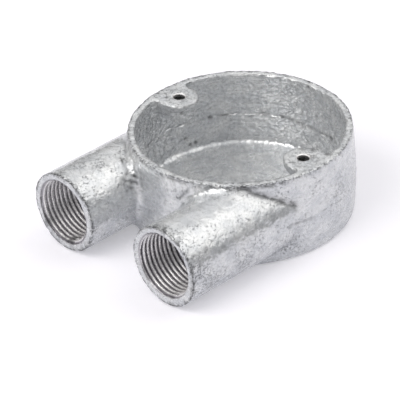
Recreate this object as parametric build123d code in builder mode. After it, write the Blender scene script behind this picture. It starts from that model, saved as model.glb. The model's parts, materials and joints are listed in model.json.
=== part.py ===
from build123d import *
import math
import os

os.makedirs("parts", exist_ok=True)

# A circular cast conduit box with two parallel spouts. Millimetres, +Z up. The origin is the
# middle of the base plane, the spouts point along -Y and the lid screws stand on the X axis.

# Lugs for the M4 lid screws, whose centres set the size of the cup
screw_centres = 50.8
screw_margin = 7.1
screw_diameter = 4.0
screw_pitch = 0.7
lug_radius = 5.8
lug_tip = 2.0
lug_root = 6.0
lug_fillet = 1.8

# Cup
wall = 2.2
wall_draft = 2.8
floor_thickness = 3.0
floor_fillet = 2.0
base_round = 1.3
rim_chamfer = 0.3

# Conduit threads, M20 x 1.5, and the bushed throats behind them
thread_diameter = 20.0
thread_pitch = 1.5
thread_length = 16.0
shoulder = 1.05
throat_round = 1.2

# Spouts, each a little inside the cup's widest wall and above its base plane, with a blend at
# the root that leaves a narrow land below the rim
spout_reach = 50.8
side_inset = 0.4
base_inset = 0.2
root_fillet = 1.9
rim_land = 0.1
mouth_chamfer = 0.4

# Both tapping sizes are the thread's diameter less its pitch
screw_bore = (screw_diameter - screw_pitch) / 2
spout_bore = (thread_diameter - thread_pitch) / 2
throat_radius = spout_bore - shoulder
spout_radius = thread_diameter / 2 + wall

# The mould parts at the height of the spout axes, and the cup's wall is widest there
parting_height = base_inset + spout_radius
box_height = parting_height + spout_radius + root_fillet + rim_land + rim_chamfer
slope = math.tan(math.radians(wall_draft))
rim_radius = screw_centres / 2 + screw_margin
parting_radius = rim_radius + (box_height - parting_height) * slope
base_radius = parting_radius - parting_height * slope

spout_offset = parting_radius - side_inset - spout_radius
spout_points = [(side * spout_offset, parting_height) for side in (-1, 1)]
screw_points = [(side * screw_centres / 2, 0) for side in (-1, 1)]

# One lug: a tongue with a round tip around its screw, flat on top and thinning from the wall
lug_outer = rim_radius - wall / 2
lug_inner = screw_centres / 2 - lug_radius
with BuildPart() as lug:
    with BuildSketch(Plane.XY.offset(box_height)):
        with Locations((screw_centres / 2, 0)):
            Circle(lug_radius)
            Rectangle(lug_outer - screw_centres / 2, 2 * lug_radius, align=(Align.MIN, Align.CENTER))
    extrude(amount=-lug_root)
    with BuildSketch(Plane.XZ):
        with BuildLine():
            Polyline(
                (lug_inner, box_height),
                (lug_outer, box_height),
                (lug_outer, box_height - lug_root),
                (lug_inner, box_height - lug_tip),
                close=True,
            )
        make_face()
    extrude(amount=lug_radius, both=True, mode=Mode.INTERSECT)

with BuildPart() as u_box:
    # Outside of the cup, a shallow barrel with a rounded base edge and a chamfered rim
    with BuildSketch(Plane.XZ) as outside:
        with BuildLine():
            ThreePointArc((base_radius, 0), (parting_radius, parting_height), (rim_radius, box_height))
            Polyline((rim_radius, box_height), (0, box_height), (0, 0), (base_radius, 0))
        make_face()
        corners = outside.vertices().sort_by(Axis.X)[-2:].sort_by(Axis.Y)
        fillet(corners[0], base_round)
        chamfer(corners[1], rim_chamfer)
    revolve(axis=Axis.Z)

    # Spouts, run in to the cup's middle plane and blended into its wall
    with BuildSketch(Plane.XZ.offset(spout_reach)):
        with Locations(*spout_points):
            Circle(spout_radius)
    extrude(amount=-spout_reach)
    roots = u_box.edges(Select.LAST).filter_by(GeomType.BSPLINE)
    fillet(roots, root_fillet)

    # Inside of the cup, at the wall's thickness from the outside, above the floor
    with BuildSketch(Plane.XZ) as inside:
        with BuildLine():
            ThreePointArc(
                (base_radius - wall, 0),
                (parting_radius - wall, parting_height),
                (rim_radius - wall, box_height),
            )
            Polyline((rim_radius - wall, box_height), (0, box_height), (0, 0), (base_radius - wall, 0))
        make_face()
        Rectangle(parting_radius, floor_thickness, align=(Align.MIN, Align.MIN), mode=Mode.SUBTRACT)
        fillet(inside.vertices().sort_by(Axis.X)[-2:].sort_by(Axis.Y)[0], floor_fillet)
    revolve(axis=Axis.Z, mode=Mode.SUBTRACT)

    # Throats, from the mouths into the cup, with rounded edges there for the cables
    with BuildSketch(Plane.XZ.offset(spout_reach)):
        with Locations(*spout_points):
            Circle(throat_radius)
    extrude(amount=-spout_reach, mode=Mode.SUBTRACT)
    entries = u_box.edges(Select.LAST).filter_by(GeomType.BSPLINE)
    fillet(entries, throat_round)

    # Threads at their tapping size, each to its shoulder, with mouths chamfered inside and out
    with BuildSketch(Plane.XZ.offset(spout_reach)):
        with Locations(*spout_points):
            Circle(spout_bore)
    extrude(amount=-thread_length, mode=Mode.SUBTRACT)
    mouths = u_box.faces().sort_by(Axis.Y)[:2]
    chamfer(mouths.edges(), mouth_chamfer)

    # Lugs, blended into the wall
    add([lug.part, lug.part.mirror(Plane.YZ)])
    joins = u_box.edges(Select.LAST).filter_by(GeomType.BSPLINE)
    fillet(joins, lug_fillet)

    # Tapping holes for the lid screws
    with BuildSketch(Plane.XY.offset(box_height)):
        with Locations(*screw_points):
            Circle(screw_bore)
    extrude(amount=-lug_root, mode=Mode.SUBTRACT)

u_box.part.label = "u_box"
export_step(u_box.part, "parts/u_box.step")
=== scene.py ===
import json
import logging
import math
from collections.abc import Callable
from dataclasses import dataclass, field
from enum import Enum

import bmesh
import bpy
import numpy as np
from mathutils import Matrix, Vector


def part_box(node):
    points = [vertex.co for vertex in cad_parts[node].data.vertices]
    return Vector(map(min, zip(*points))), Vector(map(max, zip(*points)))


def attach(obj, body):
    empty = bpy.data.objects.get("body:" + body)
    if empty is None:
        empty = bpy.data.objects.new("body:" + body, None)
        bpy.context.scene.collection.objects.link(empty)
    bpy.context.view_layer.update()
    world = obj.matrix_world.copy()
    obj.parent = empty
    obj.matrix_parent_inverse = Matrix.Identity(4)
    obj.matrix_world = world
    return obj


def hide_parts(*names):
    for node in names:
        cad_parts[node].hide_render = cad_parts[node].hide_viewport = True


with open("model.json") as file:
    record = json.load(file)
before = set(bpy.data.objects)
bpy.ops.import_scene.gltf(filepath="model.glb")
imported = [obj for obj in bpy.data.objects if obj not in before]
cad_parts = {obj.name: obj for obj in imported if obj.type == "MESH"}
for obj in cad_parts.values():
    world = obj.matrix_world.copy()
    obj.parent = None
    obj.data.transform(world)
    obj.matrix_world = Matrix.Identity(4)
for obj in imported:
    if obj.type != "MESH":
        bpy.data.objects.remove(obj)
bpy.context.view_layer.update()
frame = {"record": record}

MM = 0.001
LOG = logging.getLogger("conduit_u_box")


class Spout(Enum):
    """The two spouts, each with the side of the box that it is on."""

    LEFT = -1
    RIGHT = 1


def mount(name: str) -> dict:
    """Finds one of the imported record's mounts.

    Args:
        name: the mount's name.

    Returns:
        The mount, with its place in metres and its sizes in millimetres.
    """
    return next(m for m in frame["record"]["mounts"] if m["name"] == name)


def linear(hex_colour: str) -> tuple[float, float, float, float]:
    """Turns an sRGB hex colour into the linear one that a shader takes, by the sRGB standard's curve.

    Args:
        hex_colour: six hex digits.

    Returns:
        Red, green, blue and an alpha of 1.
    """
    parts = [int(hex_colour[i:i + 2], 16) / 255 for i in (0, 2, 4)]
    red, green, blue = (c / 12.92 if c <= 0.04045 else ((c + 0.055) / 1.055) ** 2.4 for c in parts)
    return red, green, blue, 1.0


def rounded_corner(a: np.ndarray, b: np.ndarray, radius: float) -> np.ndarray:
    """Intersects two solids given by their distances, with a rounded edge where they meet.

    Args:
        a: distance to the first solid, negative inside.
        b: distance to the second.
        radius: the edge's radius.

    Returns:
        The distance to what both hold.
    """
    u = np.maximum(a + radius, 0)
    v = np.maximum(b + radius, 0)
    return np.minimum(np.maximum(a, b), -radius) + np.sqrt(u * u + v * v)


def filleted_joint(a: np.ndarray, b: np.ndarray, radius: np.ndarray | float) -> np.ndarray:
    """Joins two solids given by their distances, with a fillet in the corner between them.

    Args:
        a: distance to the first solid, negative inside.
        b: distance to the second.
        radius: the fillet's radius, which may vary from point to point.

    Returns:
        The distance to the joined solid.
    """
    u = np.maximum(radius - a, 0)
    v = np.maximum(radius - b, 0)
    return np.maximum(np.minimum(a, b), radius) - np.sqrt(u * u + v * v)


def thread_crest(major: float, pitch: float) -> float:
    """Gives the radius of the crests of an internal metric thread.

    Args:
        major: radius of its roots.
        pitch: distance between its turns.

    Returns:
        The roots' radius less five eighths of the height of its 60 degree vee.
    """
    return major - pitch * math.sqrt(3) / 2 * 5 / 8


def thread_radius(phase: np.ndarray, major: float, pitch: float) -> np.ndarray:
    """Gives the radius of an internal metric thread, with its 60 degree vee cut off flat at either end.

    Args:
        phase: place along the turn, from 0 to 1.
        major: radius of its roots.
        pitch: distance between its turns.

    Returns:
        Radii, between the thread's crests and roots.
    """
    sharp = pitch * math.sqrt(3) / 2
    crest = thread_crest(major, pitch)
    return np.clip(crest - sharp / 4 + sharp * np.abs(2 * phase - 1), crest, major)


@dataclass
class Lumps:
    """Smooth seeded noise in space, from -1 to 1, on a lattice `length` millimetres apart."""

    seed: int
    length: float
    table_size: int = 64

    def __post_init__(self) -> None:
        """Fills the lattice with random heights."""
        heights = np.random.default_rng(self.seed).uniform(-1, 1, (self.table_size,) * 3)
        self.table = heights.astype(np.float32)

    def __call__(self, points: np.ndarray) -> np.ndarray:
        """Gives the noise at some points.

        Args:
            points: an N by 3 array in millimetres.

        Returns:
            N values.
        """
        cells, fades = [], []
        for along in points.T:
            scaled = along / self.length
            cell = np.floor(scaled)
            part = scaled - cell
            first = cell.astype(np.int64) % self.table_size
            cells.append((first, (first + 1) % self.table_size))
            # A fade with no jump in its slope or bend at the lattice points
            fades.append(part * part * part * (part * (part * 6 - 15) + 10))
        total = np.zeros(len(points))
        for i, j, k in np.ndindex(2, 2, 2):
            spot = (cells[0][i] * self.table_size + cells[1][j]) * self.table_size + cells[2][k]
            weight = np.abs(1 - i - fades[0]) * np.abs(1 - j - fades[1]) * np.abs(1 - k - fades[2])
            total += weight * self.table.ravel()[spot]
        return total


def step_up(values: np.ndarray, low: float, high: float) -> np.ndarray:
    """Gives a smooth step.

    Args:
        values: any numbers.
        low: where the step starts.
        high: where it ends.

    Returns:
        Numbers from 0 to 1.
    """
    part = np.clip((values - low) / (high - low), 0, 1)
    return part * part * (3 - 2 * part)


@dataclass(frozen=True)
class Mark:
    """One round mark: its place, size and depth in millimetres, and how strongly it tints the finish."""

    place: tuple[float, float, float]
    size: float
    depth: float
    strength: float


@dataclass(frozen=True)
class Stroke:
    """A groove or a bead along some points in millimetres: its half width, its depth, and how dark its
    painted shade is.

    A negative depth makes a bead, which has a narrow groove on each side of it. How far the stroke reaches
    and over what length its ends fade are in half widths. A bead drops to its side grooves where the
    square of the distance in half widths is 1 / side_groove, and the painted shade beside it is darkest where
    that square is side_place.
    """

    path: tuple[tuple[float, float, float], ...]
    width: float
    depth: float
    painted_shade_and_patches: float
    reach: float = 4
    fade: float = 2.5
    side_groove: float = 0.9
    side_place: float = 2.2

    def away(self, points: np.ndarray) -> np.ndarray:
        """Gives the distance from the stroke's line.

        Args:
            points: an N by 3 array.

        Returns:
            N distances, which stop growing at the stroke's reach.
        """
        line = np.array(self.path)
        reach = self.reach * self.width
        away = np.full(len(points), reach)
        close = ((points > line.min(axis=0) - reach) & (points < line.max(axis=0) + reach)).all(axis=1)
        near = points[close]
        nearest = away[close]
        for start, end in zip(line[:-1], line[1:]):
            along = end - start
            share = np.clip((near - start) @ along / (along @ along), 0, 1)
            nearest = np.minimum(nearest, np.linalg.norm(near - start - share[:, None] * along, axis=1))
        away[close] = nearest
        return away

    def taper(self, points: np.ndarray) -> np.ndarray:
        """Gives how the stroke fades at its ends.

        Args:
            points: an N by 3 array.

        Returns:
            N values, 0 at either end.
        """
        ends = [np.linalg.norm(points - np.array(end), axis=1) for end in (self.path[0], self.path[-1])]
        return step_up(np.minimum(*ends), 0, self.fade * self.width)

    def relief(self, points: np.ndarray) -> np.ndarray:
        """Gives how deep the stroke cuts.

        Args:
            points: an N by 3 array.

        Returns:
            N depths, negative on a bead.
        """
        scaled = (self.away(points) / self.width) ** 2
        shape = np.exp(-scaled) * self.taper(points)
        return self.depth * (shape if self.depth > 0 else shape * (1 - self.side_groove * scaled))

    def shade(self, points: np.ndarray) -> np.ndarray:
        """Gives the painted shade on the stroke's floor, or in the grooves beside a bead.

        Args:
            points: an N by 3 array.

        Returns:
            N values from 0 to 1.
        """
        scaled = (self.away(points) / self.width) ** 2
        shape = np.exp(-scaled if self.depth > 0 else -(scaled - self.side_place) ** 2)
        return self.painted_shade_and_patches * shape * self.taper(points)


@dataclass
class Features:
    """What casting, fettling, zinc and tapping leave on the true form, and where shade is painted on it.
    Places and depths in millimetres.

    Where a step_up takes a place, its two limits are where an effect begins and where it is full.
    """

    casting: "Casting"
    strokes: tuple[Stroke, ...] = (
        # Bead along the top of the left root, and the pale swelling below it, each with painted shade in the
        # grooves beside it
        Stroke(
            ((-17.4, -30.4, 24.2), (-13.3, -31.8, 22.3), (-10.9, -32.8, 20.0), (-9.6, -33.1, 18.0)),
            0.75, -0.05, 0.95,
        ),
        Stroke(((-8.1, -32.5, 15.0), (-7.3, -32.6, 11.5), (-7.0, -32.4, 7.8)), 1.6, -0.4, 0.1),
        # Crease along the top of the right root, with painted shade in it
        Stroke(
            (
                (21.8, -23.8, 26.4), (24.3, -21.7, 25.6), (26.6, -19.3, 23.8), (28.8, -16.1, 21.9),
                (30.6, -12.4, 20.0), (31.9, -8.7, 17.6),
            ), 0.85, 0.5, 0.85,
        ),
        # Groove beside the right root, and a piece of the parting line on the cup's right, both with painted
        # shade in them
        Stroke(((6.8, -32.3, 19.1), (9.1, -31.6, 22.0), (11.1, -30.7, 24.5)), 0.45, 0.3, 0.75),
        Stroke(
            ((32.6, -14.0, 13.4), (32.7, -12.0, 13.1), (32.7, -7.7, 12.4), (33.1, -3.6, 11.6)),
            0.4, 0.25, 0.8,
        ),
        # The mould's seam on the inside wall, from the near left round to the back: a groove, a bead under
        # the left lug, and two more grooves, with painted shade in the grooves and beside the bead
        Stroke(((-28.3, -12.7, 13.0), (-29.8, -8.5, 12.6), (-30.6, -5.4, 12.9)), 0.35, 0.28, 1.0),
        Stroke(
            ((-31.0, -1.3, 13.0), (-31.0, 2.3, 13.2), (-30.4, 5.9, 13.2), (-29.4, 9.9, 12.9)),
            0.4, -0.3, 0.3,
        ),
        Stroke(((-27.1, 15.1, 12.9), (-25.5, 17.7, 12.7), (-22.4, 21.4, 13.2)), 0.35, 0.2, 0.75),
        Stroke(
            (
                (-18.2, 25.1, 13.3), (-12.5, 28.4, 12.9), (-7.9, 30.0, 12.3), (-2.6, 30.9, 11.8),
                (2.6, 30.9, 11.7), (8.1, 30.0, 12.2),
            ), 0.42, 0.25, 1.0,
        ),
    )
    # Pits: dents, with painted shade in and around them
    pits: tuple[Mark, ...] = (
        Mark((-30.4, -2.4, 20.3), 0.5, 0.5, 1.0),
        Mark((-30.4, 5.4, 17.0), 0.45, 0.5, 1.0),
        Mark((-30.3, 6.3, 7.6), 0.42, 0.45, 1.0),
        Mark((-29.4, 9.3, 5.3), 0.42, 0.45, 1.0),
        Mark((-29.8, 7.6, 5.2), 0.36, 0.4, 0.9),
        Mark((-27.7, 14.0, 12.7), 0.46, 0.5, 1.0),
        Mark((-2.5, 30.3, 26.0), 0.5, 0.3, 0.6),
    )
    # Painted shade in the fillet of the left root, which is dented there too, and darker patches low in the
    # left mouth
    stains: tuple[Mark, ...] = (
        Mark((-10.2, -34.5, 18.8), 2.3, 0.12, 0.85),
        Mark((-19.0, -48.9, 3.2), 2.8, 0, 0.75),
        Mark((-24.5, -50.4, 2.8), 2.2, 0, 0.6),
        Mark((-29.2, -50.8, 5.6), 2.6, 0, 0.55),
    )
    # Where the zinc came out rough and specked: the left spout's top, the right spout's side, the cup's
    # right and both lugs
    rough_zinc: tuple[Mark, ...] = (
        Mark((-21.5, -43.0, 24.5), 3.5, 0, 0.8),
        Mark((-18.5, -38.5, 24.4), 3.5, 0, 0.8),
        Mark((32.5, -47.0, 14.0), 5.0, 0, 0.9),
        Mark((32.3, -43.5, 9.5), 5.0, 0, 0.85),
        Mark((32.0, -31.0, 10.5), 5.0, 0, 0.8),
        Mark((30.9, -11.6, 7.1), 5.0, 0, 0.8),
        Mark((31.5, 7.7, 15.3), 6.0, 0, 0.6),
        Mark((25.4, 0, 26.9), 5.0, 0, 0.8),
        Mark((-25.4, 0, 26.9), 5.0, 0, 0.8),
    )
    # Broad unevenness of the sand mould: each wave's seed, length and height, the longest first
    waves: tuple[tuple[int, float, float], ...] = ((3, 8.0, 0.05), (5, 3.4, 0.05), (8, 1.6, 0.03))
    # Heights of beads and ripples, and the floor's share of the ripples
    rim_beads: float = 0.12
    mouth_beads: float = 0.15
    ripples: float = 0.11
    floor_ripples: float = 0.25
    # How deep the line under the rim is, and how far below the rim
    undercut: float = 0.16
    rim_band: float = 0.95
    # How far the parting line stands out, and how much more inside the cup
    parting: float = 0.09
    inner_parting: float = 0.1
    # How dark the painted shade is in the line under the rim and along the mouths' outer edges
    lip_shade: float = 0.65
    mouth_edge_shade: float = 0.75
    # How wide a tapped hole's fading edge is
    tap_margin: float = 0.15

    def __post_init__(self) -> None:
        """Makes the noise fields."""
        self.lumps = [(Lumps(seed, length), height) for seed, length, height in self.waves]
        self.beads = Lumps(13, 1.0)
        self.crinkle = Lumps(21, 1.7)
        self.patchiness = Lumps(34, 0.8)

    def cut(self, points: np.ndarray) -> np.ndarray:
        """Gives where taps have cut the bare iron: the conduit threads and the screw holes.

        Args:
            points: an N by 3 array.

        Returns:
            N values from 0 to 1.
        """
        c = self.casting
        x, y, z = points.T
        around = np.hypot(np.abs(x) - c.offset, z - c.axis)
        bore = step_up(c.major + 0.5 - around, 0, 0.3) * step_up(c.thread_end + 0.6 - y, 0, 0.3)
        bore *= step_up(y + c.reach, 0.05, 0.3)
        return np.maximum(bore, self.screw_holes(points) * (z > c.height - c.lug_root))

    def screw_holes(self, points: np.ndarray) -> np.ndarray:
        """Gives where the lid screw holes are, at any height.

        Args:
            points: an N by 3 array.

        Returns:
            N values from 0 to 1.
        """
        c = self.casting
        aside = np.hypot(np.abs(points[:, 0]) - c.screw_offset, points[:, 1])
        return step_up(c.screw_major + self.tap_margin - aside, 0, self.tap_margin)

    def lip(self, points: np.ndarray, width: float) -> np.ndarray:
        """Gives where the line under the rim is, on the outside of the cup.

        Args:
            points: an N by 3 array.
            width: the line's half width in millimetres.

        Returns:
            N values from 0 to 1.
        """
        c = self.casting
        x, y, z = points.T
        outdoors = step_up(np.hypot(x, y), c.rim - 0.9, c.rim - 0.4)
        return outdoors * np.exp(-((z - c.height + self.rim_band) / width) ** 2)

    def indoors(self, points: np.ndarray) -> np.ndarray:
        """Gives where the surface is inside the cup.

        Args:
            points: an N by 3 array.

        Returns:
            N values from 0 to 1.
        """
        c = self.casting
        x, y, z = points.T
        inward = step_up(c.barrel(z) - np.hypot(x, y), c.wall - 0.9, c.wall - 0.5)
        return inward * step_up(z, c.floor - 0.5, c.floor) * step_up(-z, 0.3 - c.height, 0.8 - c.height)

    def rippled(self, points: np.ndarray) -> np.ndarray:
        """Gives how strongly the inside is rippled: most on its walls, less on its floor.

        Args:
            points: an N by 3 array.

        Returns:
            N values from 0 to 1.
        """
        floor = self.casting.floor
        above = step_up(points[:, 2], floor + 0.5, floor + 3)
        return self.indoors(points) * (self.floor_ripples + (1 - self.floor_ripples) * above)

    def dots(self, points: np.ndarray, marks: tuple[Mark, ...], reach: float = 1.0) -> list[np.ndarray]:
        """Gives how near each mark is.

        Args:
            points: an N by 3 array.
            marks: the marks.
            reach: widens them.

        Returns:
            For each mark, N values from 0 to 1.
        """
        return [
            np.exp(-((points - np.array(mark.place)) ** 2).sum(axis=1) / (mark.size * reach) ** 2)
            for mark in marks
        ]

    def tint(self, points: np.ndarray, marks: tuple[Mark, ...], reach: float = 1.0) -> np.ndarray:
        """Gives how strongly the marks tint the finish.

        Args:
            points: an N by 3 array.
            marks: the marks.
            reach: widens them.

        Returns:
            N values from 0 to 1, those of the strongest mark.
        """
        near = self.dots(points, marks, reach)
        return np.max([share * mark.strength for share, mark in zip(near, marks)], axis=0)

    def groove(self, points: np.ndarray) -> np.ndarray:
        """Gives how deep a place is in the conduit thread.

        Args:
            points: an N by 3 array.

        Returns:
            N values, 0 at the crests and 1 at the roots.
        """
        c = self.casting
        around = np.hypot(*c.from_thread_axis(points[:, 0], points[:, 2]))
        crest = thread_crest(c.major, c.thread_pitch)
        return np.clip((around - crest) / (c.major - crest), 0, 1)

    def relief(self, points: np.ndarray) -> np.ndarray:
        """Gives how far the surface stands below the true form.

        Args:
            points: an N by 3 array.

        Returns:
            Depths.
        """
        c = self.casting
        x, y, z = points.T
        depth = sum(lumps(points) * height for lumps, height in self.lumps)
        beads = self.beads(points)
        rim = step_up(z, c.height - 1.0, c.height - 0.1)
        mouth = step_up(-y, c.reach - 1.0, c.reach - 0.1)
        depth += beads * np.maximum(self.rim_beads * rim, self.mouth_beads * mouth)
        # The ripples are longer round the wall than up it
        crinkle = self.crinkle(points * np.array((1, 1, 2.2)))
        depth += crinkle * self.ripples * self.rippled(points)
        depth += self.lip(points, 0.5) * self.undercut * (1 + beads)
        depth += sum(stroke.relief(points) for stroke in self.strokes) * (1 + 0.5 * beads)
        # The parting line wanders up and down with the longest waves and comes and goes with the next
        wander, fading = (lumps(points) for lumps, _ in self.lumps[:2])
        seam = np.exp(-((z - c.axis - 0.5 * wander) / 0.22) ** 2)
        proud = self.parting + self.inner_parting * self.indoors(points)
        depth -= seam * proud * step_up(fading, -0.5, 0) * (1 + beads)
        for near, mark in zip(self.dots(points, self.pits), self.pits):
            depth += near * mark.depth
        patchiness = self.patchiness(points)
        for near, mark in zip(self.dots(points, self.stains), self.stains):
            depth += near * mark.depth * (1 + 2 * patchiness)
        return depth * (1 - self.cut(points))

    def marks(self, points: np.ndarray) -> dict[str, np.ndarray]:
        """Gives what the finish needs to know: where the iron is bare, where shade and darker patches are
        painted, where it is rough, or inside the cup.

        Args:
            points: an N by 3 array.

        Returns:
            For each attribute's name, N values from 0 to 1.
        """
        c = self.casting
        x, y, z = points.T
        patchiness = step_up(self.patchiness(points), -0.35, 0.35)
        # Painted shade in and around the pits and in the left root's fillet, and darker patches low in the
        # left mouth
        painted_shade_and_patches = np.maximum(self.tint(points, self.pits, 1.3), self.tint(points, self.stains, 1.1) * patchiness)
        # Painted shade in the creases and grooves, and beside the beads
        for stroke in self.strokes:
            painted_shade_and_patches = np.maximum(painted_shade_and_patches, stroke.shade(points) * (0.45 + 0.55 * patchiness))
        # Painted shade in the line under the rim, on the cup's front
        front = step_up(-y, 0, 15)
        painted_shade_and_patches = np.maximum(painted_shade_and_patches, self.lip_shade * self.lip(points, 0.3) * patchiness * front)
        around = np.hypot(np.abs(x) - c.offset, z - c.axis)
        # Painted shade along the round of the mouths' outer edges
        edge = np.exp(-((around - c.spout_radius + 0.2) / 0.35) ** 2)
        edge *= step_up(-y, c.reach - 0.7, c.reach - 0.2)
        painted_shade_and_patches = np.maximum(painted_shade_and_patches, self.mouth_edge_shade * edge * patchiness)
        aside = np.hypot(np.abs(x) - c.screw_offset, y)
        # Painted shade down inside the lid screw holes
        hole = self.screw_holes(points) * step_up(c.height - 0.3 - z, 0, 0.8)
        painted_shade_and_patches = np.maximum(painted_shade_and_patches, hole * (z > c.height - c.screw_depth))

        # The threads' roots are painted darker, for the oil and dirt they keep and as painted shade, as they
        # see little light
        cut = self.cut(points)
        groove = step_up(self.groove(points), 0.25, 0.85) * cut * (aside > c.screw_major + 1)

        # The zinc is rough along the rim's and the mouths' outer edges too
        rim = step_up(z, c.height - 1.4, c.height - 0.4)
        rim *= step_up(np.hypot(x, y), c.rim - 1.0, c.rim - 0.2)
        ring = step_up(around, c.spout_radius - 1.0, c.spout_radius - 0.2)
        ring *= step_up(-y, c.reach - 1.2, c.reach - 0.3)
        rough = np.maximum(np.maximum(rim, ring), self.tint(points, self.rough_zinc))
        return {
            "bare": cut, "painted_shade_and_patches": painted_shade_and_patches, "indoors": self.indoors(points), "rippled": self.rippled(points),
            "groove": groove, "rough": rough,
        }


@dataclass
class Casting:
    """The box's one casting: a barrelled cup with two spouts and two lugs. Sizes in millimetres."""

    wall: float = 2.2
    draft: float = math.radians(2.8)
    floor: float = 3.0
    floor_fillet: float = 1.8
    base_round: float = 1.3
    rim_round: float = 0.35
    screw_margin: float = 7.1
    root_fillet: float = 2.2
    root_swelling: float = 1.1
    swelling_x: float = -12.3
    swelling_z: float = 20.8
    swelling_size: float = 4.0
    thinnest_fillet: float = 0.02
    throat_round: float = 1.2
    shoulder: float = 1.05
    thread_length: float = 16.0
    thread_pitch: float = 1.5
    screw_pitch: float = 0.7
    screw_depth: float = 9.0
    lug_radius: float = 5.8
    lug_tip: float = 2.0
    lug_root: float = 6.0
    lug_fillet: float = 1.8
    lug_under_round: float = 1.5
    lead_in: float = 0.75
    zinc_skin: float = 0.08
    # The first net's cells, the triangles left of it, and how much the thinning may take from fine places
    step: float = 0.25
    triangles: int = 196_000
    fine_weight: float = 0.08
    # Where in its turn each conduit thread starts, and how far right and up from the spout's axis it is
    thread_starts: dict[Spout, float] = field(
        default_factory=lambda: {Spout.LEFT: 0.25, Spout.RIGHT: 0.0},
    )
    thread_shifts: dict[Spout, tuple[float, float]] = field(
        default_factory=lambda: {Spout.LEFT: (-0.4, 0.1), Spout.RIGHT: (-0.1, 0.3)},
    )

    def __post_init__(self) -> None:
        """Takes the sizes that the frame holds from its box and mounts."""
        low, high = (np.array(corner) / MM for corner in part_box("u_box"))
        spout, screws = mount("right_spout"), mount("lid_screws")
        self.height = high[2]
        self.reach = -low[1]
        self.offset, _, self.axis = (c / MM for c in spout["pos_m"])
        self.bore = spout["dims"]["r_mm"]
        self.throat = self.bore - self.shoulder
        self.major = self.bore + self.thread_pitch / 2
        self.spout_radius = self.major + self.wall
        self.screw_offset = screws["dims"]["spacing_x_mm"] / 2
        self.screw_major = screws["dims"]["hole_r_mm"] + self.screw_pitch / 2
        self.rim = self.screw_offset + self.screw_margin
        self.widest = self.rim + (self.height - self.axis) * math.tan(self.draft)
        self.base = self.widest - self.axis * math.tan(self.draft)
        self.thread_end = self.thread_length - self.reach
        self.low, self.high = low, high
        self.features = Features(self)

    def barrel(self, z: np.ndarray) -> np.ndarray:
        """Gives the cup's outside radius at a height: a curve through base, parting line and rim.

        Args:
            z: heights.

        Returns:
            Radii.
        """
        curve = np.polyfit((0, self.axis, self.height), (self.base, self.widest, self.rim), 2)
        return np.polyval(curve, z)

    def outside(self, x: np.ndarray, y: np.ndarray, z: np.ndarray) -> np.ndarray:
        """Gives the distance to the casting as if it were solid.

        Args:
            x, y, z: places.

        Returns:
            Distances, negative in the metal.
        """
        out = np.sqrt(x * x + y * y)
        cup = rounded_corner(out - self.barrel(z), -z, self.base_round)
        across = np.abs(x) - self.offset
        around = np.sqrt(across * across + (z - self.axis) ** 2)
        tube = rounded_corner(around - self.spout_radius, -self.reach - y, self.rim_round)
        tube = np.maximum(tube, y)
        # Where tube and cup run side by side the fillet between them dies out, and on the left root it swells
        alike = np.abs(x) * across / np.maximum(out * around, 1)
        away = ((x - self.swelling_x) ** 2 + (z - self.swelling_z) ** 2) / (2 * self.swelling_size ** 2)
        swollen = 1 + self.root_swelling * np.exp(-away) * (x < 0)
        fillet = self.root_fillet * np.clip(1 - alike, self.thinnest_fillet, 1) * swollen
        body = filleted_joint(cup, tube, fillet)
        body = rounded_corner(body, z - self.height, self.rim_round)
        return np.maximum(body, -z)

    def thread(self, x: np.ndarray, y: np.ndarray, z: np.ndarray) -> np.ndarray:
        """Gives the distance to the room of the right-hand conduit threads, cut a little off centre.

        Args:
            x, y, z: places.

        Returns:
            Distances, negative in the hollow of a threaded mouth.
        """
        start = np.where(x < 0, self.thread_starts[Spout.LEFT], self.thread_starts[Spout.RIGHT])
        across, above = self.from_thread_axis(x, z)
        around = np.sqrt(across * across + above * above)
        turn = np.arctan2(across, above) / math.tau
        phase = np.mod((y + self.reach) / self.thread_pitch - turn + start, 1)
        crest = thread_crest(self.major, self.thread_pitch)
        runout = np.clip((self.thread_end - y) / self.thread_pitch, 0, 1)
        radius = crest + (thread_radius(phase, self.major, self.thread_pitch) - crest) * runout
        cone = crest + self.lead_in - (y + self.reach)
        return np.maximum(around - np.maximum(radius, cone), y - self.thread_end)

    def from_thread_axis(self, x: np.ndarray, z: np.ndarray) -> tuple[np.ndarray, np.ndarray]:
        """Measures from the axis of the conduit thread on the same side, which is a little off the spout's.

        Args:
            x, z: places.

        Returns:
            How far they are to the right of it and above it.
        """
        left = x < 0
        (left_x, left_z), (right_x, right_z) = (self.thread_shifts[spout] for spout in Spout)
        across = x - np.where(left, left_x - self.offset, right_x + self.offset)
        return across, z - np.where(left, left_z, right_z) - self.axis

    def screw_thread(self, x: np.ndarray, y: np.ndarray, z: np.ndarray) -> np.ndarray:
        """Gives the radius of the right-hand lid screw thread around a lug's hole.

        Args:
            x, y, z: places.

        Returns:
            Radii, between the thread's crests and roots.
        """
        turn = np.arctan2(y, x - np.sign(x) * self.screw_offset) / math.tau
        return thread_radius(np.mod(z / self.screw_pitch - turn, 1), self.screw_major, self.screw_pitch)

    def inside(self, x: np.ndarray, y: np.ndarray, z: np.ndarray, threaded: bool) -> np.ndarray:
        """Gives the distance to the metal seen from the hollows: cup, lugs, throats and threads.

        Args:
            x, y, z: places.
            threaded: whether the screw holes have their fine thread.

        Returns:
            Distances, negative in the metal and positive in the hollows.
        """
        out = np.sqrt(x * x + y * y)
        hollow = rounded_corner(out - self.barrel(z) + self.wall, self.floor - z, self.floor_fillet)

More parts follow.
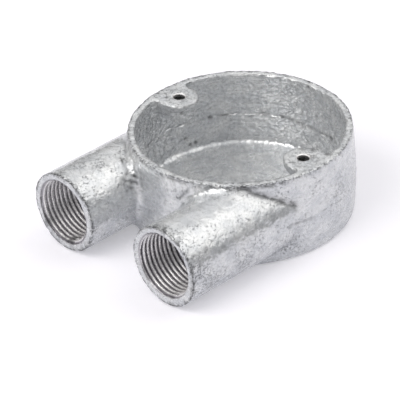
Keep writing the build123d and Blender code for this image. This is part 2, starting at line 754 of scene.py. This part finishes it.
        aside = np.abs(x) - self.screw_offset
        from_screw = np.sqrt(aside * aside + y * y)
        plan = np.where(aside > 0, np.abs(y), from_screw) - self.lug_radius
        lug_length = self.rim - self.wall / 2 - self.screw_offset + self.lug_radius
        taper = (self.lug_root - self.lug_tip) / lug_length
        under = self.height - self.lug_tip - (aside + self.lug_radius) * taper - z
        lug = rounded_corner(plan, under / math.hypot(1, taper), self.lug_under_round)
        metal = filleted_joint(-hollow, lug, self.lug_fillet)

        across = np.abs(x) - self.offset
        around = np.sqrt(across * across + (z - self.axis) ** 2)
        throat = np.maximum(around - self.throat, y + self.lug_radius)
        metal = rounded_corner(metal, -throat, self.throat_round)
        near = (around < self.major + self.wall) & (y < self.thread_end + self.wall)
        thread = np.full(np.shape(x), self.wall, dtype=np.asarray(x).dtype)
        thread[near] = self.thread(x[near], y[near], z[near])
        metal = np.maximum(metal, -thread)
        hole = self.screw_thread(x, y, z) if threaded else self.screw_major - self.screw_pitch / 4
        drilled = np.maximum(from_screw - hole, self.height - self.screw_depth - z)
        return np.maximum(metal, -drilled)

    def distance(self, points: np.ndarray, threaded: bool = False) -> np.ndarray:
        """Gives the distance to the casting.

        Args:
            points: an array whose last axis is x, y, z.
            threaded: whether the screw holes have their fine thread.

        Returns:
            Distances, negative in the metal.
        """
        x, y, z = (points[..., i] for i in range(3))
        metal = self.inside(x, y, z, threaded)
        return rounded_corner(self.outside(x, y, z), metal, self.rim_round) + self.zinc_skin

    def skin(self, points: np.ndarray) -> np.ndarray:
        """Gives the distance to the finished surface, with its threads and relief.

        Args:
            points: an N by 3 array.

        Returns:
            Distances, negative in the metal.
        """
        return self.distance(points, threaded=True) + self.features.relief(points)

    def slope(self, points: np.ndarray) -> np.ndarray:
        """Gives the gradient of the finished surface's distance.

        Args:
            points: an N by 3 array.

        Returns:
            An N by 3 array.
        """
        reach = 0.04
        steps = np.eye(3) * reach
        rise = [self.skin(points + along) - self.skin(points - along) for along in steps]
        return np.stack(rise, axis=1) / (2 * reach)

    def settle(self, points: np.ndarray, rounds: int) -> np.ndarray:
        """Moves points along the gradient on to the finished surface.

        Args:
            points: an N by 3 array near the surface.
            rounds: how often to correct them.

        Returns:
            The moved points.
        """
        reach = 0.05
        least_square = 0.25
        for _ in range(rounds):
            here = self.skin(points)
            rise = [self.skin(points + along) - here for along in np.eye(3) * reach]
            gradient = np.stack(rise, axis=1) / reach
            square = np.maximum((gradient ** 2).sum(axis=1), least_square)
            move = gradient * (here / square)[:, None]
            points = points - np.clip(move, -self.step, self.step)
        return np.clip(points, self.low, self.high)

    def build(self) -> bpy.types.Object:
        """Meshes the casting.

        Returns:
            The finished object.
        """
        margin = 2 * self.step
        points, quads = surface_net(self.distance, self.low - margin, self.high + margin, self.step)
        LOG.info("net: %d points, %d quads", len(points), len(quads))
        mesh = bpy.data.meshes.new("u_box_casting")
        mesh.from_pydata(points, [], quads)
        self.refine_screw_holes(mesh)
        place_points(mesh, self.settle(read_points(mesh), 2))
        casting = bpy.data.objects.new("u_box_casting", mesh)
        bpy.context.scene.collection.objects.link(casting)
        self.lighten(casting)
        mesh = casting.data
        points = self.settle(read_points(mesh), 1)
        place_points(mesh, points)
        shade_smooth(mesh, self.slope(points))
        for name, values in self.features.marks(points).items():
            attribute = mesh.attributes.new(name, "FLOAT", "POINT")
            attribute.data.foreach_set("value", values.astype(np.float32))
        mesh.transform(Matrix.Scale(MM, 4))
        LOG.info("casting: %d faces", len(mesh.polygons))
        return casting

    def refine_screw_holes(self, mesh: bpy.types.Mesh) -> None:
        """Divides the faces in the lid screw holes, so that they can carry the fine thread.

        Args:
            mesh: the casting's mesh.
        """
        work = bmesh.new()
        work.from_mesh(mesh)
        reach = self.screw_major + self.step
        edges = [
            edge for edge in work.edges
            if all(math.hypot(abs(v.co.x) - self.screw_offset, v.co.y) < reach for v in edge.verts)
            and min(v.co.z for v in edge.verts) > self.height - self.lug_root
        ]
        bmesh.ops.subdivide_edges(work, edges=edges, cuts=2, use_grid_fill=True)
        bmesh.ops.triangulate(work, faces=work.faces)
        work.to_mesh(mesh)
        work.free()

    def lighten(self, casting: bpy.types.Object) -> None:
        """Thins the mesh to its number of triangles, and least where threads and pits are.

        Args:
            casting: the casting, whose mesh is replaced.
        """
        points = read_points(casting.data)
        cut = self.features.cut(points)
        group = casting.vertex_groups.new(name="plain")
        pitted = np.max(self.features.dots(points, self.features.pits, 2.0), axis=0)
        fine = np.maximum(cut, pitted) > 0.4
        group.add(np.flatnonzero(~fine).tolist(), 1.0, "REPLACE")
        group.add(np.flatnonzero(fine).tolist(), self.fine_weight, "REPLACE")
        LOG.info("before thinning: %d faces", len(casting.data.polygons))
        thin = casting.modifiers.new("thin", "DECIMATE")
        thin.ratio = min(1.0, self.triangles / len(casting.data.polygons))
        thin.vertex_group = group.name
        evaluated = casting.evaluated_get(bpy.context.evaluated_depsgraph_get())
        thinned = bpy.data.meshes.new_from_object(evaluated)
        casting.modifiers.clear()
        casting.data = thinned


def read_points(mesh: bpy.types.Mesh) -> np.ndarray:
    """Reads a mesh's vertices.

    Args:
        mesh: any mesh.

    Returns:
        An N by 3 array.
    """
    flat = np.empty(len(mesh.vertices) * 3, dtype=np.float32)
    mesh.vertices.foreach_get("co", flat)
    return flat.reshape(-1, 3).astype(float)


def place_points(mesh: bpy.types.Mesh, points: np.ndarray) -> None:
    """Writes a mesh's vertices.

    Args:
        mesh: any mesh.
        points: an N by 3 array.
    """
    mesh.vertices.foreach_set("co", points.astype(np.float32).ravel())
    mesh.update()


def shade_smooth(mesh: bpy.types.Mesh, normals: np.ndarray) -> None:
    """Shades a mesh smoothly with given vertex normals.

    Args:
        mesh: any mesh.
        normals: an N by 3 array of outward directions.
    """
    mesh.shade_smooth()
    unit = normals / np.linalg.norm(normals, axis=1, keepdims=True)
    mesh.normals_split_custom_set_from_vertices(unit)


def surface_net(
    distance: Callable[[np.ndarray], np.ndarray], low: np.ndarray, high: np.ndarray, step: float,
) -> tuple[np.ndarray, np.ndarray]:
    """Meshes the surface of a solid given by its distance: one vertex in each cell that it crosses.

    Args:
        distance: gives distances for an array of places.
        low: lowest corner of the space.
        high: its highest corner.
        step: the cells' size.

    Returns:
        Vertices, N by 3, and quads, M by 4, facing outward.
    """
    x, y, z = (np.arange(a, b + step, step, dtype=np.float32) for a, b in zip(low, high))
    values = np.empty((len(x), len(y), len(z)), dtype=np.float32)
    # In slabs, which need less memory at once
    slab = 16
    for first in range(0, len(x), slab):
        block = np.stack(np.meshgrid(x[first:first + slab], y, z, indexing="ij"), axis=-1)
        values[first:first + slab] = distance(block)
    solid = values < 0
    count = sum(
        solid[i:len(x) - 1 + i, j:len(y) - 1 + j, k:len(z) - 1 + k].astype(np.int8)
        for i, j, k in np.ndindex(2, 2, 2)
    )
    cells = np.argwhere((count > 0) & (count < 8))
    number = np.full(count.shape, -1, dtype=np.int32)
    number[tuple(cells.T)] = np.arange(len(cells))

    # Each vertex is the mean of the places where the cell's edges are crossed
    total = np.zeros((len(cells), 3))
    crossed = np.zeros(len(cells))
    for axis in range(3):
        along = np.eye(3, dtype=int)[axis]
        for corner in np.ndindex(2, 2, 2):
            if corner[axis]:
                continue
            start = values[tuple((cells + corner).T)]
            end = values[tuple((cells + corner + along).T)]
            hit = (start < 0) != (end < 0)
            part = start[hit] / (start[hit] - end[hit])
            total[hit] += np.array(corner) + part[:, None] * along
            crossed += hit
    points = np.array([x[0], y[0], z[0]]) + (cells + total / crossed[:, None]) * step

    # Each crossed grid edge has a quad between the four cells around it
    quads = []
    for axis in range(3):
        one, two = (np.eye(3, dtype=int)[(axis + n) % 3] for n in (1, 2))
        ahead = np.diff(solid.astype(np.int8), axis=axis)
        for sign in (-1, 1):
            edges = np.argwhere(ahead == sign)
            ring = [edges - one - two, edges - two, edges, edges - one]
            corners = np.stack([number[tuple(c.T)] for c in ring], axis=1)
            quads.append(corners[:, ::-1] if sign > 0 else corners)
    return points, np.concatenate(quads)


def add(
    tree: bpy.types.NodeTree, kind: str, settings: dict[str, object] | None = None, **links: object,
) -> bpy.types.Node:
    """Adds a node with its settings and links.

    Args:
        tree: the node tree.
        kind: the node's type.
        settings: attributes of the node.
        links: for each input, by its name with _ for a space or by in_ and its number, a socket or a value.

    Returns:
        The node.
    """
    node = tree.nodes.new(kind)
    for name, value in (settings or {}).items():
        setattr(node, name, value)
    for name, value in links.items():
        key = int(name[3:]) if name.startswith("in_") else name.replace("_", " ")
        if isinstance(value, bpy.types.NodeSocket):
            tree.links.new(value, node.inputs[key])
        else:
            node.inputs[key].default_value = value
    return node


@dataclass(frozen=True)
class GalvanisedIron:
    """Malleable iron, cast in sand and dipped in molten zinc, then tapped.

    The eye sees a pale silvery semi-gloss skin, softly dimpled over the sand's texture and mottled with
    duller zinc, in which a lamp blurs to a soft band; shade is painted into the hollows of its dimples and
    grain.
    Where the zinc froze rough it has dark specks. The taps cut through it, so the threads are brighter bare
    metal with oil, dirt and painted shade in their grooves. Shade is also painted into pits, creases, screw
    holes and the line under the rim, and some patches are painted darker.

    Colours are sRGB and lengths are in millimetres. Dimples and mottling are set to look as large as the
    photographed ones. The sand's grains are about 0.2 mm and the finest specks 0.1 mm, both less than a
    pixel of the render, so they are drawn about three and six times as coarse as they are, to show.
    """

    light: str = "E0E1E2"
    dull: str = "D0D2D5"
    speck_and_hollow_shade: str = "525357"
    bare: str = "F2F0F0"
    groove: str = "86828A"
    shade_and_patch_colour: str = "29292B"
    metallic: float = 0.55
    roughness: float = 0.22
    smoother: float = 0.04
    rougher: float = 0.1
    mottle_mm: float = 5.0
    cluster_mm: float = 4.5
    flatness: float = 1.5
    peel_mm: float = 1.7
    grain_mm: float = 0.55
    speck_mm: float = 0.65
    # How dark the painted shade in the hollows of the grain and of the dimples is, then how dark the specks
    # are
    grain_shade: float = 0.05
    peel_shade: float = 0.13
    speck_shade: float = 0.85
    fewest_specks: float = 0.14
    most_specks: float = 0.75
    rough_gain: float = 0.1
    relief_mm: float = 0.22
    grain_height: float = 0.02
    peel_height: float = 0.9
    ripple_height: float = 2.4

    def material(self) -> bpy.types.Material:
        """Makes the shader.

        Returns:
            The material.
        """
        material = bpy.data.materials.new("galvanised_iron")
        material.use_nodes = True
        tree = material.node_tree
        tree.nodes.clear()
        place = add(tree, "ShaderNodeTexCoord").outputs["Object"]
        flat = add(tree, "ShaderNodeMapping", Vector=place, Scale=(1, 1, self.flatness)).outputs[0]
        mottle, cluster, peel, grain, fleck = (
            add(
                tree, "ShaderNodeTexNoise", Vector=flat, Scale=1 / (size * MM), Detail=detail,
                Distortion=distortion,
            ).outputs["Fac"]
            for size, detail, distortion in (
                (self.mottle_mm, 3.0, 0.0), (self.cluster_mm, 2.0, 0.5), (self.peel_mm, 1.0, 0.2),
                (self.grain_mm, 1.0, 0.0), (self.speck_mm, 2.0, 0.8),
            )
        )
        bare, painted_shade_and_patches, indoors, rippled, groove, rough = (
            add(tree, "ShaderNodeAttribute", {"attribute_name": name}).outputs["Fac"]
            for name in ("bare", "painted_shade_and_patches", "indoors", "rippled", "groove", "rough")
        )

        def blend(
            share: bpy.types.NodeSocket, under: bpy.types.NodeSocket, over: str,
        ) -> bpy.types.NodeSocket:
            """Lays one more colour over the others."""
            colours = {"in_6": under, "in_7": linear(over)}
            return add(tree, "ShaderNodeMix", {"data_type": "RGBA"}, in_0=share, **colours).outputs[2]

        def maths(operation: str, *values: bpy.types.NodeSocket | float) -> bpy.types.NodeSocket:
            """Combines shares."""
            inputs = {"in_%d" % i: value for i, value in enumerate(values)}
            return add(tree, "ShaderNodeMath", {"operation": operation}, **inputs).outputs[0]

        def between(
            value: bpy.types.NodeSocket, low: float, high: float, low_out: float, high_out: float,
        ) -> bpy.types.NodeSocket:
            """Maps a share from one range to another."""
            return add(
                tree, "ShaderNodeMapRange", {"interpolation_type": "SMOOTHSTEP"}, Value=value, From_Min=low,
                From_Max=high, To_Min=low_out, To_Max=high_out,
            ).outputs[0]

        # The noises lie mostly between 0.3 and 0.7, and the speck noise makes a fleck above about 0.6
        cast = maths("SUBTRACT", 1.0, bare)
        zinc = add(
            tree, "ShaderNodeMix", {"data_type": "RGBA"},
            in_0=between(mottle, 0.35, 0.65, 0, 1), in_6=linear(self.light), in_7=linear(self.dull),
        ).outputs[2]
        outdoors = maths("SUBTRACT", 1.0, indoors)
        patches = maths("MAXIMUM", between(cluster, 0.48, 0.62, self.fewest_specks, self.most_specks), rough)
        fleck = maths("MULTIPLY_ADD", rough, self.rough_gain, fleck)
        specks = maths("MULTIPLY", between(fleck, 0.6, 0.65, 0, self.speck_shade), patches)
        specks = maths("MULTIPLY", specks, maths("MULTIPLY", cast, outdoors))
        # Painted shade in the hollows of the grain and of the dimples
        zinc = blend(between(grain, 0.5, 0.3, 0, self.grain_shade), zinc, self.speck_and_hollow_shade)
        zinc = blend(between(peel, 0.5, 0.3, 0, self.peel_shade), zinc, self.speck_and_hollow_shade)
        zinc = blend(specks, zinc, self.speck_and_hollow_shade)
        # Bare iron in the threads, with their roots painted darker for oil and dirt and as painted shade
        cuts = blend(groove, blend(bare, zinc, self.bare), self.groove)
        # Painted shade in the pits, creases, grooves, screw holes, under the rim and along the mouths' edges,
        # and darker patches in the left mouth
        colour = blend(painted_shade_and_patches, cuts, self.shade_and_patch_colour)
        shine = between(peel, 0.3, 0.7, self.roughness - self.smoother, self.roughness + self.rougher)
        swell = maths("MULTIPLY", peel, maths("MULTIPLY_ADD", rippled, self.ripple_height, self.peel_height))
        height = maths("MULTIPLY", maths("MULTIPLY_ADD", grain, self.grain_height, swell), cast)
        height = maths("SUBTRACT", height, specks)
        bump = add(tree, "ShaderNodeBump", Height=height, Strength=1.0, Distance=self.relief_mm * MM)
        shader = add(
            tree, "ShaderNodeBsdfPrincipled", Base_Color=colour, Metallic=self.metallic,
            Roughness=shine, Normal=bump.outputs[0],
        )
        add(tree, "ShaderNodeOutputMaterial", Surface=shader.outputs[0])
        return material


@dataclass(frozen=True)
class Lamp:
    """One square soft lamp that points at the part. Its size and distance are in metres."""

    name: str
    toward: tuple[float, float, float]
    size: float
    brightness: float
    colour: str = "FFFFFF"
    distance: float = 1.7

    def build(self) -> None:
        """Hangs the lamp."""
        light = bpy.data.lights.new(self.name, "AREA")
        light.size = self.size
        light.energy = self.brightness * math.pi * self.size ** 2
        light.color = linear(self.colour)[:3]
        lamp = bpy.data.objects.new(self.name, light)
        away = Vector(self.toward).normalized()
        lamp.location = away * self.distance
        lamp.rotation_mode = "QUATERNION"
        lamp.rotation_quaternion = away.to_track_quat("Z", "Y")
        bpy.context.scene.collection.objects.link(lamp)


@dataclass(frozen=True)
class Studio:
    """A white sweep under soft lamps. Sizes in metres."""

    floor_size: float = 8.0
    floor_drop: float = 0.02 * MM
    floor_white: str = "DADCE6"
    floor_seen: str = "EFEDF4"
    floor_glow: float = 0.27
    ambient: float = 0.56
    # In reflections the world is as dim as the horizon up to one height of the direction, and white above
    # the other
    horizon: float = 0.12
    horizon_top: float = 0.1
    sky_bottom: float = 0.8
    lamps: tuple[Lamp, ...] = (
        Lamp("key", (0.36, 0.54, 0.76), 1.5, 0.85, "FFFDF8"),
        Lamp("front", (-0.06, -0.66, 0.75), 1.0, 3.2, "FFFDF9"),
        Lamp("front_left", (-0.58, -0.58, 0.57), 0.8, 1.3, "FFFDF9"),
        Lamp("left", (-0.62, 0.57, 0.54), 1.0, 0.15, "F8FAFF"),
    )

    def build(self) -> None:
        """Makes the floor, the lamps and the world."""
        mesh = bpy.data.meshes.new("floor")
        half = self.floor_size / 2
        corners = [(-half, -half, 0), (half, -half, 0), (half, half, 0), (-half, half, 0)]
        mesh.from_pydata(corners, [], [(0, 1, 2, 3)])
        floor = bpy.data.objects.new("floor", mesh)
        bpy.context.scene.collection.objects.link(floor)
        floor.location.z = -self.floor_drop
        mesh.materials.append(self.sweep())
        for lamp in self.lamps:
            lamp.build()
        self.surround()

    def sweep(self) -> bpy.types.Material:
        """Makes the floor's material, which looks white and keeps the shadow.

        Returns:
            The material.
        """
        material = bpy.data.materials.new("white_sweep")
        material.use_nodes = True
        tree = material.node_tree
        tree.nodes.clear()
        lit = add(tree, "ShaderNodeBsdfDiffuse", Color=linear(self.floor_white))
        shown = add(tree, "ShaderNodeBsdfDiffuse", Color=linear(self.floor_seen))
        glow = add(tree, "ShaderNodeEmission", Color=(1, 1, 1, 1), Strength=self.floor_glow)
        seen = add(tree, "ShaderNodeAddShader", in_0=shown.outputs[0], in_1=glow.outputs[0])
        path = add(tree, "ShaderNodeLightPath")
        looked = path.outputs["Is Camera Ray"]
        for ray in ("Is Glossy Ray", "Is Transmission Ray"):
            kind = {"operation": "MAXIMUM"}
            looked = add(tree, "ShaderNodeMath", kind, in_0=looked, in_1=path.outputs[ray]).outputs[0]
        mix = add(tree, "ShaderNodeMixShader", Fac=looked, in_1=lit.outputs[0], in_2=seen.outputs[0])
        add(tree, "ShaderNodeOutputMaterial", Surface=mix.outputs[0])
        return material

    def surround(self) -> None:
        """Makes a world that looks white, lights the part softly and has a dim horizon in reflections."""
        world = bpy.data.worlds.new("studio")
        bpy.context.scene.world = world
        world.use_nodes = True
        tree = world.node_tree
        tree.nodes.clear()
        path = add(tree, "ShaderNodeLightPath")
        height = add(tree, "ShaderNodeSeparateXYZ", in_0=add(tree, "ShaderNodeTexCoord").outputs["Generated"])
        glossy = add(
            tree, "ShaderNodeMapRange", {"interpolation_type": "SMOOTHSTEP"}, Value=height.outputs["Z"],
            From_Min=self.horizon_top, From_Max=self.sky_bottom, To_Min=self.horizon, To_Max=1.0,
        )
        reflected = add(
            tree, "ShaderNodeMath", {"operation": "MAXIMUM"},
            in_0=path.outputs["Is Glossy Ray"], in_1=path.outputs["Is Transmission Ray"],
        )
        soft = add(
            tree, "ShaderNodeMix", {"data_type": "FLOAT"},
            in_0=reflected.outputs[0], in_2=self.ambient, in_3=glossy.outputs[0],
        )
        strength = add(
            tree, "ShaderNodeMix", {"data_type": "FLOAT"},
            in_0=path.outputs["Is Camera Ray"], in_2=soft.outputs[0], in_3=1.0,
        )
        sky = add(tree, "ShaderNodeBackground", Color=(1, 1, 1, 1), Strength=strength.outputs[0])
        add(tree, "ShaderNodeOutputWorld", Surface=sky.outputs[0])


@dataclass(frozen=True)
class Camera:
    """The photograph's viewpoint: a long lens from above the right spout. Places in millimetres."""

    eye: tuple[float, float, float] = (526.29, -498.41, 457.62)
    aim: tuple[float, float, float] = (-1.675, -15.386, 8.288)
    roll: float = math.radians(2.685)
    focal_length: float = 264.33
    sensor: float = 36.0
    farthest: float = 10_000.0

    def build(self) -> None:
        """Makes the scene's camera."""
        data = bpy.data.cameras.new("camera")
        data.lens = self.focal_length
        data.sensor_width = self.sensor
        data.clip_end = self.farthest * MM
        camera = bpy.data.objects.new("camera", data)
        bpy.context.scene.collection.objects.link(camera)
        eye, aim = Vector(self.eye) * MM, Vector(self.aim) * MM
        facing = (aim - eye).to_track_quat("-Z", "Y").to_matrix().to_4x4()
        camera.matrix_world = Matrix.Translation(eye) @ facing @ Matrix.Rotation(-self.roll, 4, "Z")
        bpy.context.scene.camera = camera


def main() -> None:
    """Builds the part, its finish, the studio and the camera."""
    logging.basicConfig(level=logging.INFO, format="%(name)s: %(message)s")
    bpy.context.scene.view_settings.view_transform = "Standard"
    casting = Casting().build()
    casting.data.materials.append(GalvanisedIron().material())
    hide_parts("u_box")
    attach(casting, "root")
    LOG.info("%s: %d triangles", casting.name, len(casting.data.polygons))
    Studio().build()
    Camera().build()


if __name__ == "__main__":
    main()
